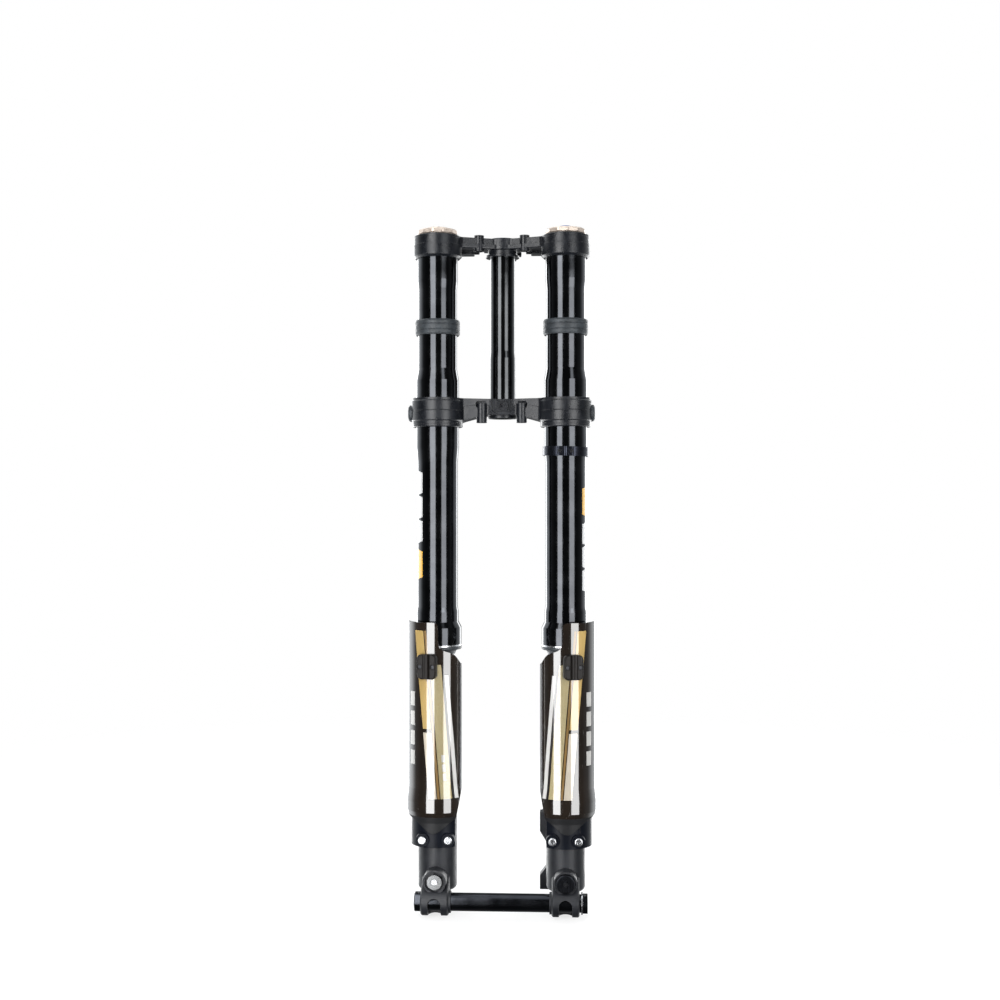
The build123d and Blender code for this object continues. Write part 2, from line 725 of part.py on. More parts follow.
def compression_adjuster():
    """Low domed dial with finger scallops, on a stem through the cap."""
    stem_end = 172.0
    seat = CAP_FLANGE_TOP + ADJUSTER_GAP
    rim = (10.2, seat + 2.2)
    apex = (0, seat + 4.2)
    with BuildPart() as dial:
        with BuildSketch(leg_front(1)):
            with BuildLine():
                Polyline((0, stem_end), (4.0, stem_end), (4.0, seat), (10.2, seat), rim)
                TangentArc(apex, rim, tangent=(1, 0))
                Line(apex, (0, stem_end))
            make_face()
        revolve(axis=leg_axis(1))
        with BuildSketch(leg_plan(1, seat)):
            with PolarLocations(11.6, 10):
                Circle(2.2)
        extrude(amount=6, mode=Mode.SUBTRACT)
        with BuildSketch(leg_plan(1, seat + 4.2)):
            Rectangle(7, 1.2)
        extrude(amount=-1.2, mode=Mode.SUBTRACT)
    return dial


# ---------------------------------------------------------------- lower legs
def inner_tube(side):
    return ring(side, STANCHION_BORE_R, STANCHION_R, STANCHION_BOTTOM, STANCHION_TOP)


def upper_bushing(side):
    return ring(side, STANCHION_R, TUBE_BORE_R - RUNNING_GAP, STANCHION_TOP - 26, STANCHION_TOP - 4)


def guard_bosses(side):
    """Threaded bosses on the foot, trimmed to the inner face of the guard mount."""
    with BuildPart() as bosses:
        with BuildSketch(leg_front(side)):
            with Locations(*GUARD_BOLTS):
                Circle(6.5)
        extrude(amount=MOUNT_R)
        with BuildSketch(leg_plan(side, MOUNT_BOTTOM - 5)):
            Circle(MOUNT_R - MOUNT_WALL)
        extrude(amount=30, mode=Mode.INTERSECT)
    return bosses


def axle_clamp(side):
    """Side plate that slopes forward from the barrel and ends in the round axle clamp."""
    with BuildPart() as plate:
        with BuildSketch(facing_side(side * LEG_X - CLAMP_WIDTH / 2)):
            with Locations((AXLE_Y, AXLE_Z)):
                Circle(CLAMP_R)
            Polygon(
                (-28, -538), (-46.5, -540), (-66, -551.3), (-60, -565), (-53, CLAMP_BOTTOM),
                (-38, CLAMP_BOTTOM), (-35, CLAMP_BOTTOM + 3), (-35, -562), (-28, -556), align=None,
            )
        extrude(amount=CLAMP_WIDTH)
        chamfer(plate.faces().filter_by(Axis.X).edges(), 1.4)
        # pocket between the two ribs, around the front boss
        with BuildSketch(leg_front(side, 60)):
            with Locations((0, -531)):
                RectangleRounded(24, 40, 3)
        extrude(amount=-60, mode=Mode.SUBTRACT)
        # arched window over the axle, open below
        with BuildSketch(leg_front(side, 60)):
            with Locations((0, AXLE_Z - 0.8)):
                Circle(WINDOW_WIDTH / 2)
            with Locations((0, AXLE_Z - 15.8)):
                Rectangle(WINDOW_WIDTH, 30)
        extrude(amount=-36, mode=Mode.SUBTRACT)
        # shallow arch under the bridge between the clamp lobes
        with BuildSketch(leg_front(side, 60)):
            with Locations((0, CLAMP_BOTTOM - 14.7)):
                Circle(16.5)
        extrude(amount=-60, mode=Mode.SUBTRACT)
    return plate


def caliper_posts():
    """Rib and two round posts for a post-mount caliper, behind the inner side of the right foot."""
    outline = [
        (-14, -472.8), (-29.4, -472.8), (-29.4, -494.2), (-21, -508), (-21, -534), (-29.4, -544.8),
        (-29.4, -560.8), (-14, -560.8),
    ]
    rib_back = CALIPER_FACE - 12
    with BuildPart() as posts:
        with BuildSketch(leg_front(1, -rib_back)):
            Polygon(*outline, align=None)
        extrude(amount=14)
        with BuildSketch(leg_front(1, -CALIPER_FACE)):
            with Locations(*CALIPER_HOLES):
                Circle(7.0)
        extrude(amount=12)
    return posts


def foot(side):
    """Cast foot: barrel, front boss, axle clamp, guard bosses and, on the right, caliper posts."""
    plate = axle_clamp(side)
    bosses = guard_bosses(side)
    with BuildPart() as casting:
        add(plate.part)
        add(bosses.part)
        if side > 0:
            posts = caliper_posts()
            add(posts.part)
        # barrel with a rounded bottom
        with BuildSketch(leg_front(side)) as wall:
            Polygon((0, FOOT_BOTTOM), (FOOT_R, FOOT_BOTTOM), (FOOT_R, FOOT_TOP), (0, FOOT_TOP), align=None)
            fillet(wall.vertices().group_by(Axis.X)[-1].sort_by(Axis.Y)[0], 5)
        revolve(axis=leg_axis(side))
        # round front boss with a recess
        with BuildSketch(leg_front(side)):
            with Locations((0, BOSS_Z)):
                Circle(13.0)
        extrude(amount=BOSS_FRONT)
        with BuildSketch(leg_front(side, BOSS_FRONT)):
            with Locations((0, BOSS_Z)):
                Circle(11.0)
        extrude(amount=-BOSS_RECESS, mode=Mode.SUBTRACT)
        with BuildSketch(leg_front(side, BOSS_FRONT)):
            with Locations((0, BOSS_Z)):
                Circle(BOSS_BORE_R[side])
        extrude(amount=-(BOSS_FRONT - BOSS_SHANK_END), mode=Mode.SUBTRACT)
        # hub face
        with BuildSketch(facing_side(side * (LEG_X - CLAMP_WIDTH / 2), AXLE_Y, AXLE_Z, -side)):
            Circle(12.2)
        extrude(amount=LEG_X - CLAMP_WIDTH / 2 - HUB_GAP / 2)
        # tube socket, axle bore and clamp slit
        with BuildSketch(leg_plan(side, STANCHION_BOTTOM)):
            Circle(STANCHION_R)
        extrude(amount=FOOT_TOP + 5 - STANCHION_BOTTOM, mode=Mode.SUBTRACT)
        with BuildSketch(facing_side(side * (LEG_X - 25), AXLE_Y, AXLE_Z, side)):
            Circle(AXLE_R)
        extrude(amount=50, mode=Mode.SUBTRACT)
        with BuildSketch(facing_side(side * (LEG_X - 25), AXLE_Y + 17, AXLE_Z, side)):
            Rectangle(18, 2)
        extrude(amount=50, mode=Mode.SUBTRACT)
        # pinch screw holes, from below
        with BuildSketch(leg_plan(side, CLAMP_BOTTOM)):
            with Locations(*FOOT_SCREW_PLACES):
                Circle(5.2)
        extrude(amount=FOOT_SCREW_SEAT, mode=Mode.SUBTRACT)
        with BuildSketch(leg_plan(side, CLAMP_BOTTOM)):
            with Locations(*FOOT_SCREW_PLACES):
                Circle(3.0)
        extrude(amount=FOOT_SCREW_END - CLAMP_BOTTOM, mode=Mode.SUBTRACT)
        # guard bolt holes
        with BuildSketch(leg_front(side, MOUNT_R)):
            with Locations(*GUARD_BOLTS):
                Circle(GUARD_BOLT_R)
        extrude(amount=GUARD_BOLT_END - MOUNT_R, mode=Mode.SUBTRACT)
        if side > 0:
            with BuildSketch(leg_front(side, -CALIPER_FACE)):
                with Locations(*CALIPER_HOLES):
                    Circle(2.5)
            extrude(amount=18, mode=Mode.SUBTRACT)
    return casting


def foot_pinch_bolts(side):
    seat = CLAMP_BOTTOM + FOOT_SCREW_SEAT
    places = [(side * LEG_X + x, LEG_Y + y, seat) for x, y in FOOT_SCREW_PLACES]
    return cap_screws(places, (0, 0, -1), 5.0, 5.4, 3.0, FOOT_SCREW_END - seat - 1, 2.9)


def foot_bolt():
    """Hex-headed plug in the left foot, with a seat for the bleed screw."""
    seat = BOSS_FRONT - BOSS_RECESS
    head = 4.4
    with BuildPart() as bolt:
        with BuildSketch(leg_front(-1, seat)):
            with Locations((0, BOSS_Z)):
                RegularPolygon(9.3, 6, rotation=90)
        extrude(amount=head)
        with BuildSketch(leg_front(-1, seat)):
            with Locations((0, BOSS_Z)):
                Circle(9.3)
        extrude(amount=head, taper=12, mode=Mode.INTERSECT)
        with BuildSketch(leg_front(-1, seat)):
            with Locations((0, BOSS_Z)):
                Circle(BOSS_BORE_R[-1])
        extrude(amount=-(seat - BOSS_SHANK_END))
        with BuildSketch(leg_front(-1, seat + head)):
            with Locations((0, BOSS_Z)):
                Circle(3.6)
        extrude(amount=-1.6, mode=Mode.SUBTRACT)
        with BuildSketch(leg_front(-1, seat + head)):
            with Locations((0, BOSS_Z)):
                Circle(BLEED_R)
        extrude(amount=-9, mode=Mode.SUBTRACT)
    return bolt


def bleed_screw():
    """Slotted screw in the middle of the foot bolt."""
    head = BOSS_FRONT - BOSS_RECESS + 2.8
    with BuildPart() as screw:
        with BuildSketch(leg_front(-1, head)):
            with Locations((0, BOSS_Z)):
                Circle(3.4)
        extrude(amount=1.8)
        with BuildSketch(leg_front(-1, head)):
            with Locations((0, BOSS_Z)):
                Circle(BLEED_R)
        extrude(amount=-6)
        with BuildSketch(leg_front(-1, head + 1.8)):
            with Locations((0, BOSS_Z)):
                Rectangle(0.9, 8)
        extrude(amount=-0.9, mode=Mode.SUBTRACT)
    return screw


def rebound_knob():
    """Turning knob on the right foot, with a pointer mark and a dished face."""
    seat = BOSS_FRONT - BOSS_RECESS + ADJUSTER_GAP
    with BuildPart() as knob:
        with BuildSketch(leg_front(1, seat)):
            with Locations((0, BOSS_Z)):
                Circle(10.4)
        extrude(amount=KNOB_FRONT - seat)
        fillet(knob.faces().sort_by(Axis.Y)[0].edges(), 0.9)
        with BuildSketch(leg_front(1, seat)):
            with Locations((0, BOSS_Z)):
                Circle(BOSS_BORE_R[1] - RUNNING_GAP)
        extrude(amount=-(seat - BOSS_SHANK_END - 0.5))
        with BuildSketch(leg_front(1, KNOB_FRONT)):
            with Locations((0, BOSS_Z)):
                Circle(2.6)
            with Locations((0, BOSS_Z + 4.6)):
                RectangleRounded(4.4, 1.6, 0.7)
        extrude(amount=-0.9, mode=Mode.SUBTRACT)
        with BuildSketch(leg_front(1, KNOB_FRONT)):
            with Locations((0, BOSS_Z)):
                Circle(1.2)
        extrude(amount=-10, mode=Mode.SUBTRACT)
    return knob


def rebound_knob_screw():
    place = (LEG_X, LEG_Y - KNOB_FRONT + 0.9, BOSS_Z)
    return cap_screws([place], (0, -1, 0), 2.2, 1.3, 1.2, 8, 0.9)


# ---------------------------------------------------------------- guards
def toward(side, degrees_out, radius):
    """Plan offset from a leg axis: degrees_out turns from the front toward the outer side."""
    angle = radians(degrees_out)
    return (side * radius * sin(angle), -radius * cos(angle))


def wedge(side, inner_angle, outer_angle):
    """Plan outline of an arc of the guard, wider than the guard itself."""
    steps = 4
    span = outer_angle + inner_angle
    rays = [toward(side, -inner_angle + span * i / steps, 80) for i in range(steps + 1)]
    Polygon((0, 0), *rays, align=None)


def outward(side, points):
    """Front view points measured toward the outer side, as sketch coordinates."""
    return [(side * x, z) for x, z in points]


def guide_plane(side, radius):
    """Plane square to the guard where the hose guide sits; local y is global Z."""
    x, y = toward(side, GUIDE_ANGLE, radius)
    normal = toward(side, GUIDE_ANGLE, 1)
    return Plane(
        origin=(side * LEG_X + x, LEG_Y + y, GUIDE_Z), x_dir=(-normal[1], normal[0], 0),
        z_dir=(normal[0], normal[1], 0),
    )


def guard(side):
    """Moulded shell in front of the inner tube: tall outer wing, full width below."""
    outside = [(GUARD_R, GUARD_TOP), (GUARD_R, -440), (35.6, -455), (35.6, -466), (33.2, -478), (32.8, -492)]
    inside = [
        (MOUNT_R, -492), (MOUNT_R, MOUNT_TOP), (33.0, -464), (33.0, -456), (GUARD_R - GUARD_WALL, -440),
        (GUARD_R - GUARD_WALL, GUARD_TOP),
    ]
    wing = [(45, GUARD_TOP), (1.6, GUARD_TOP), (-1.9, -254.5), (-3.4, -258), (-3.4, -272)]
    shoulder = [
        (-3.4, -272), (-7.7, -283.4), (-17.2, -287.4), (-23.7, -293.2), (-27.6, -299.5), (-29.2, -307),
    ]
    inner_edge = [(-29.2, -307), (-29.0, -440), (-25.6, -460), (-22.8, -474)]
    lip = [(-22.8, -474), (-9, -483.6), (2, -489.4), (13, -483.6), (26, -474)]
    outer_edge = [(26, -474), (30, -472), (36.5, -465), (45, -463), (45, GUARD_TOP)]
    rear_angle = 100
    corner_x, corner_y = toward(side, rear_angle, GUARD_R - GUARD_WALL / 2)
    rear_corner = (side * LEG_X + corner_x, LEG_Y + corner_y, GUARD_TOP)
    with BuildPart() as shell:
        with BuildSketch(leg_front(side)):
            Polygon(*outside, *inside, align=None)
        revolve(axis=leg_axis(side))
        with BuildSketch(leg_plan(side, -495)):
            wedge(side, 58, rear_angle)
        extrude(amount=250, mode=Mode.INTERSECT)
        with BuildSketch(leg_front(side)):
            with BuildLine():
                Polyline(*outward(side, wing))
                Spline(*outward(side, shoulder), tangents=((0, -1), (0, -1)))
                Polyline(*outward(side, inner_edge))
                Spline(*outward(side, lip))
                Polyline(*outward(side, outer_edge))
            make_face()
        extrude(amount=60, both=True, mode=Mode.INTERSECT)
        fillet(shell.edges().sort_by_distance(rear_corner)[0], 12)
        with BuildSketch(guide_plane(side, GUARD_R + 6)):
            with Locations((-GUIDE_HOLE_X, 0), (GUIDE_HOLE_X, 0)):
                Circle(1.4)
        extrude(amount=-14, mode=Mode.SUBTRACT)
    return shell


def guard_mount(side):
    """Moulded collar behind the guard's lower lip, with two ringed bolt bosses."""
    with BuildPart() as mount:
        with BuildSketch(leg_plan(side, MOUNT_BOTTOM)):
            Circle(MOUNT_R)
        extrude(amount=MOUNT_TOP - MOUNT_BOTTOM)
        with BuildSketch(leg_front(side)):
            with Locations(*GUARD_BOLTS):
                Circle(7.3)
        extrude(amount=MOUNT_BOSS)
        with BuildSketch(leg_plan(side, MOUNT_BOTTOM - 1)):
            Circle(MOUNT_R - MOUNT_WALL)
        extrude(amount=40, mode=Mode.SUBTRACT)
        with BuildSketch(leg_plan(side, MOUNT_BOTTOM - 1)):
            wedge(side, 46, 98)
        extrude(amount=40, mode=Mode.INTERSECT)
        with BuildSketch(leg_front(side, MOUNT_BOSS)):
            with Locations(*GUARD_BOLTS):
                Circle(5.4)
        extrude(amount=-0.8, mode=Mode.SUBTRACT)
        with BuildSketch(leg_front(side, MOUNT_BOSS)):
            with Locations(*GUARD_BOLTS):
                Circle(GUARD_BOLT_R + 0.1)
        extrude(amount=-20, mode=Mode.SUBTRACT)
    return mount


def guard_bolts(side):
    """Button-headed bolts through the guard mount."""
    seat = MOUNT_BOSS - 0.8
    head = 3.2
    with BuildPart() as bolts:
        for place in GUARD_BOLTS:
            with BuildSketch(leg_front(side, seat)):
                with Locations(place):
                    Circle(4.8)
            extrude(amount=head)
            fillet(bolts.faces(Select.LAST).sort_by(Axis.Y)[0].edges(), 1.5)
            with BuildSketch(leg_front(side, seat + head)):
                with Locations(place):
                    RegularPolygon(2.3, 6)
            extrude(amount=-2, mode=Mode.SUBTRACT)
            with BuildSketch(leg_front(side, seat)):
                with Locations(place):
                    Circle(GUARD_BOLT_R)
            extrude(amount=GUARD_BOLT_END - seat)
    return bolts


def hose_guide(side):
    """Clip block on the guard with a vertical saddle between two screw lobes."""
    with BuildPart() as guide:
        with BuildSketch(guide_plane(side, GUARD_R - 5)):
            RectangleRounded(22, 28, 5)
        extrude(amount=11)
        fillet(guide.faces().filter_by(guide_plane(side, GUARD_R)).sort_by(Axis.Y)[0].edges(), 1.8)
        saddle = guide_plane(side, GUARD_R + 8.5)
        with BuildSketch(Plane(origin=saddle.origin - Vector(0, 0, 20), z_dir=(0, 0, 1))):
            Circle(5.0)
        extrude(amount=40, mode=Mode.SUBTRACT)
        with BuildSketch(leg_plan(side, GUIDE_Z - 20)):
            Circle(GUARD_R)
        extrude(amount=40, mode=Mode.SUBTRACT)
        with BuildSketch(guide_plane(side, GUARD_R + 6)):
            with Locations((-GUIDE_HOLE_X, 0), (GUIDE_HOLE_X, 0)):
                Circle(2.6)
        extrude(amount=-2, mode=Mode.SUBTRACT)
        with BuildSketch(guide_plane(side, GUARD_R + 6)):
            with Locations((-GUIDE_HOLE_X, 0), (GUIDE_HOLE_X, 0)):
                Circle(1.4)
        extrude(amount=-14, mode=Mode.SUBTRACT)
    return guide


def hose_guide_screws(side):
    plane = guide_plane(side, GUARD_R + 4)
    places = [plane.from_local_coords((x, 0, 0)) for x in (-GUIDE_HOLE_X, GUIDE_HOLE_X)]
    return cap_screws(places, plane.z_dir, 2.4, 1.4, 1.4, 7.6, 1.2)


# ---------------------------------------------------------------- wheel axle
def axle():
    """Hollow through-axle with a hex head on the right."""
    head = 5.5
    with BuildPart() as shaft:
        with BuildSketch(facing_side(AXLE_LEFT, AXLE_Y, AXLE_Z)):
            Circle(AXLE_R)
        extrude(amount=AXLE_RIGHT - AXLE_LEFT)
        with BuildSketch(facing_side(AXLE_RIGHT, AXLE_Y, AXLE_Z)):
            RegularPolygon(11.2, 6)
        extrude(amount=head)
        with BuildSketch(facing_side(AXLE_RIGHT + head, AXLE_Y, AXLE_Z)):
            Circle(5.5)
        extrude(amount=-3.0, mode=Mode.SUBTRACT)
        with BuildSketch(facing_side(AXLE_LEFT, AXLE_Y, AXLE_Z)):
            Circle(AXLE_SPIGOT_R)
        extrude(amount=AXLE_RIGHT - AXLE_LEFT - 6, mode=Mode.SUBTRACT)
    return shaft


def axle_washer():
    with BuildPart() as washer:
        with BuildSketch(facing_side(AXLE_RIGHT, AXLE_Y, AXLE_Z)):
            Circle(12.2)
            Circle(AXLE_R, mode=Mode.SUBTRACT)
        extrude(amount=-1.6)
    return washer


def axle_end_cap():
    """Rounded hexagonal nut on the left end, with a spigot in the axle's bore."""
    thick = 7.4
    with BuildPart() as cap:
        with BuildSketch(facing_side(AXLE_LEFT, AXLE_Y, AXLE_Z, -1)):
            RegularPolygon(11.6, 6)
            Circle(10.8, mode=Mode.INTERSECT)
        extrude(amount=thick)
        fillet(cap.faces().sort_by(Axis.X)[0].edges(), 1.3)
        with BuildSketch(facing_side(AXLE_LEFT, AXLE_Y, AXLE_Z, -1)):
            Circle(AXLE_SPIGOT_R)
        extrude(amount=-14)
        with BuildSketch(facing_side(AXLE_LEFT - thick, AXLE_Y, AXLE_Z, -1)):
            RegularPolygon(4.6, 6)
        extrude(amount=-5, mode=Mode.SUBTRACT)
    return cap


# ---------------------------------------------------------------- write the pieces
save(steerer_tube(), "steerer_tube")
save(steerer_top_cap(), "steerer_top_cap")
save(upper_crown(), "upper_crown")
save(lower_crown(), "lower_crown")
crown_screws()
save(steerer_lock_screw(), "steerer_lock_screw")
save(pair(stop_bumper), "crown_stop_bumpers")

for hand, side in SIDES.items():
    save(outer_tube(side), f"{hand}_outer_tube")
    save(frame_bumper(side), f"{hand}_frame_bumper")
    save(dust_wiper(side), f"{hand}_dust_wiper")
    save(inner_tube(side), f"{hand}_inner_tube")
    save(foot(side), f"{hand}_foot")
    save(guard(side), f"{hand}_guard")
    save(guard_mount(side), f"{hand}_guard_mount")
    save(hose_guide(side), f"{hand}_hose_guide")

save(top_cap(-1, PRELOAD_STEM_R, 21), "left_top_cap")
save(top_cap(1, 4.0, 8), "right_top_cap")
save(pair(o_ring), "top_cap_o_rings")
save(pair(lower_bushing), "lower_bushings")
save(pair(upper_bushing), "upper_bushings")
save(pair(oil_seal), "oil_seals")
save(pair(seal_washer), "seal_washers")
save(pair(seal_circlip), "seal_circlips")
save(pair(wiper_band), "wiper_bands")
save(pair(guard_bolts), "guard_bolts")
save(pair(hose_guide_screws), "hose_guide_screws")
save(pair(foot_pinch_bolts), "foot_pinch_bolts")

save(hose_clamp(1), "hose_clamp")
save(hose_clamp_screws(1), "hose_clamp_screws")

save(main_spring(), "main_spring")
save(spring_seat(), "spring_seat")
save(preload_spacer(), "preload_spacer")
save(preload_adjuster(), "preload_adjuster")
save(preload_screw(), "preload_screw")
save(foot_bolt(), "foot_bolt")
save(bleed_screw(), "bleed_screw")

save(damper_cartridge(), "damper_cartridge")
save(damper_seal_head(), "damper_seal_head")
save(damper_rod(), "damper_rod")
save(damper_piston(), "damper_piston")
save(top_out_bumper(), "top_out_bumper")
save(compression_adjuster(), "compression_adjuster")
save(rebound_knob(), "rebound_knob")
save(rebound_knob_screw(), "rebound_knob_screw")

save(axle(), "axle")
save(axle_washer(), "axle_washer")
save(axle_end_cap(), "axle_end_cap")
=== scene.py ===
"""Dual-crown inverted suspension fork: materials, printed graphics and studio around the CAD frame.

Everything is in metres in the frame of the CAD model: +Z up along the steerer, -Y the front,
+X the right side seen from the front.  Design lengths are written in millimetres and scaled by MM.
"""

import bmesh
import bpy
import json
from math import asin, cos, pi, radians, sin
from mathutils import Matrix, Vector


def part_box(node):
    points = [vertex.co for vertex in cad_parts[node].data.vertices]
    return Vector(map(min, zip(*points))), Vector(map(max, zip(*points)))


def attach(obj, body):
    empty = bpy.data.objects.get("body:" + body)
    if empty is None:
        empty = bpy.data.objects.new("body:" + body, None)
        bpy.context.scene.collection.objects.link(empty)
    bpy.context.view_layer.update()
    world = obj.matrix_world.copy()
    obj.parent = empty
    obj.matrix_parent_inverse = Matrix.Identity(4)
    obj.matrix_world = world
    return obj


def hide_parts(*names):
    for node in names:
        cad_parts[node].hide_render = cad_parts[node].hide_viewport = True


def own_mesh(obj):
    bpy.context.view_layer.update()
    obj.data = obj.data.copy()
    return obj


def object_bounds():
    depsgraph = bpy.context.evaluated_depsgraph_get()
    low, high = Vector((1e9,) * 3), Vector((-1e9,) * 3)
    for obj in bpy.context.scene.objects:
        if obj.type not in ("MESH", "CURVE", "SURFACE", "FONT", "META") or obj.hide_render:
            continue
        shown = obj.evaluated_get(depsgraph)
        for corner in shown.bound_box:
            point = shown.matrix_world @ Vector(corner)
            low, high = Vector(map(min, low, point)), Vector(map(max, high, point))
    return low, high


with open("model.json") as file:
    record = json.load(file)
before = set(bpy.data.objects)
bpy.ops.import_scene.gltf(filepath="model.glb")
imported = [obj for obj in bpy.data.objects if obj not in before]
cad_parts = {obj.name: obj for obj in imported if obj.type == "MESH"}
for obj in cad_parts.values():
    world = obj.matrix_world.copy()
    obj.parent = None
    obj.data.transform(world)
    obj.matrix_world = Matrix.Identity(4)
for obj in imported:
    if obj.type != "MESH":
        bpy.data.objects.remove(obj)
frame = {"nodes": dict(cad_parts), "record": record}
cad_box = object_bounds()

MM = 0.001
SIDES = {"left": -1, "right": 1}

GUARD_R = 34.0  # outer face of the guards down to where they flare, all in millimetres
FLARE_TOP = -440.0
FLARE_BOTTOM = -455.0
FLARE_R = 35.6
TUBE_R = 23.0  # straight part of the outer tubes
GUARD_MATTE_TOP = -471.0  # the moulding is matte below its glossy band
COAT_IOR = 1.95  # strong clear skin over the guards and the prints
EDGE_SAMPLES = 4
PRINT_TURN = 5.0  # degrees that the artwork is turned inward from the front
SPRING_TOP = -140.0
SPRING_BOTTOM = -470.0
SPRING_MEAN_R = 13.0
SPRING_WIRE_R = 2.25
SPRING_TURNS = 18


def centre(node):
    """Middle of a CAD node's box."""
    low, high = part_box(node)
    return (low + high) / 2


LEG = {hand: centre(f"{hand}_inner_tube") for hand in SIDES}
LEG_Y = LEG["left"].y


# ---------------------------------------------------------------- shader building blocks
class Shader:
    """A node-based material, with short names for the nodes it is built from."""

    def __init__(self, name):
        self.material = bpy.data.materials.new(name)
        self.material.use_nodes = True
        self.tree = self.material.node_tree
        self.surface = self.tree.nodes["Principled BSDF"]
        self.place = self.tree.nodes.new("ShaderNodeTexCoord").outputs["Object"]

    def node(self, kind, **settings):
        made = self.tree.nodes.new("ShaderNode" + kind)
        for key, value in settings.items():
            setattr(made, key, value)
        return made

    def feed(self, socket, value):
        """Links an output to a socket, or sets the socket to a plain value."""
        if isinstance(value, bpy.types.NodeSocket):
            self.tree.links.new(value, socket)
        elif isinstance(value, (tuple, list)) and len(value) == 3 and len(socket.default_value) == 4:
            socket.default_value = (*value, 1)
        else:
            socket.default_value = value

    def stretched(self, scale):
        """Object coordinates in millimetres, scaled along each axis."""
        mapping = self.node("Mapping")
        self.feed(mapping.inputs["Vector"], self.place)
        self.feed(mapping.inputs["Scale"], [s / MM for s in scale])
        return mapping.outputs["Vector"]

    def noise(self, size, detail=4.0, rough=0.6, scale=(1, 1, 1)):
        """Noise from 0 to 1 whose features are about `size` millimetres wide."""
        made = self.node("TexNoise")
        self.feed(made.inputs["Vector"], self.stretched(scale))
        self.feed(made.inputs["Scale"], 1 / size)
        self.feed(made.inputs["Detail"], detail)
        self.feed(made.inputs["Roughness"], rough)
        return made.outputs["Fac"]

    def cells(self, size):
        """Distance to the nearest of random points about `size` millimetres apart."""
        made = self.node("TexVoronoi")
        self.feed(made.inputs["Vector"], self.stretched((1, 1, 1)))
        self.feed(made.inputs["Scale"], 1 / size)
        return made.outputs["Distance"]

    def ramp(self, value, low, high, bottom=0.0, top=1.0, smooth=True):
        """Maps low..high to bottom..top, clamped."""
        made = self.node("MapRange", interpolation_type="SMOOTHSTEP" if smooth else "LINEAR")
        self.feed(made.inputs["Value"], value)
        self.feed(made.inputs["From Min"], low)
        self.feed(made.inputs["From Max"], high)
        self.feed(made.inputs["To Min"], bottom)
        self.feed(made.inputs["To Max"], top)
        return made.outputs["Result"]

    def math(self, operation, a, b=0.0):
        made = self.node("Math", operation=operation)
        self.feed(made.inputs[0], a)
        self.feed(made.inputs[1], b)
        return made.outputs[0]

    def mix(self, factor, a, b):
        """Mix of two colours."""
        made = self.node("Mix", data_type="RGBA")
        self.feed(made.inputs["Factor"], factor)
        self.feed(made.inputs[6], a)
        self.feed(made.inputs[7], b)
        return made.outputs[2]

    def bump(self, height, depth, after=None):
        """Surface relief `depth` millimetres deep."""
        made = self.node("Bump")
        self.feed(made.inputs["Height"], height)
        self.feed(made.inputs["Distance"], depth * MM)
        self.feed(made.inputs["Strength"], 1.0)
        if after is not None:
            self.feed(made.inputs["Normal"], after)
        return made.outputs["Normal"]

    def soft_edges(self, radius):
        """Normal rounded over sharp edges."""
        made = self.node("Bevel", samples=EDGE_SAMPLES)
        self.feed(made.inputs["Radius"], radius * MM)
        return made.outputs["Normal"]

    def edge_mask(self, radius):
        """1 along sharp edges and 0 on open faces."""
        geometry = self.node("NewGeometry")
        dot = self.node("VectorMath", operation="DOT_PRODUCT")
        self.feed(dot.inputs[0], self.soft_edges(radius))
        self.feed(dot.inputs[1], geometry.outputs["Normal"])
        return self.ramp(dot.outputs["Value"], 0.97, 0.80)

    def height(self):
        """Height in the frame, in millimetres."""
        axes = self.node("SeparateXYZ")
        self.feed(axes.inputs["Vector"], self.place)
        return self.math("MULTIPLY", axes.outputs["Z"], 1 / MM)

    def set(self, **values):
        """Principled inputs by their names with underscores."""
        for key, value in values.items():
            self.feed(self.surface.inputs[key.replace("_", " ").title().replace("Ior", "IOR")], value)
        return self


# ---------------------------------------------------------------- materials
def anodised(name, colour, rough=0.10, dust=0.12):
    """Hard anodised tube: dark mirror with fine turning lines, faint smudges and specks of dust."""
    s = Shader(name)
    turning = s.noise(0.35, detail=2, scale=(0.02, 0.02, 1))
    smudge = s.noise(22, detail=5)
    specks = s.ramp(s.cells(3.2), 0.10, 0.03)
    grime = s.math("MULTIPLY", specks, s.ramp(s.noise(9), 0.50, 0.66))
    lighter = tuple(min(1, c * 1.25 + 0.004) for c in colour)
    base = s.mix(s.ramp(smudge, 0.35, 0.75), colour, lighter)
    base = s.mix(s.math("MULTIPLY", grime, dust), base, (0.20, 0.20, 0.21))
    clean = s.ramp(smudge, 0.3, 0.8, rough * 0.8, rough * 1.7)
    roughness = s.math("ADD", clean, s.math("MULTIPLY", grime, 0.25))
    s.set(base_color=base, metallic=1.0, roughness=roughness, normal=s.bump(turning, 0.004))
    return s.material


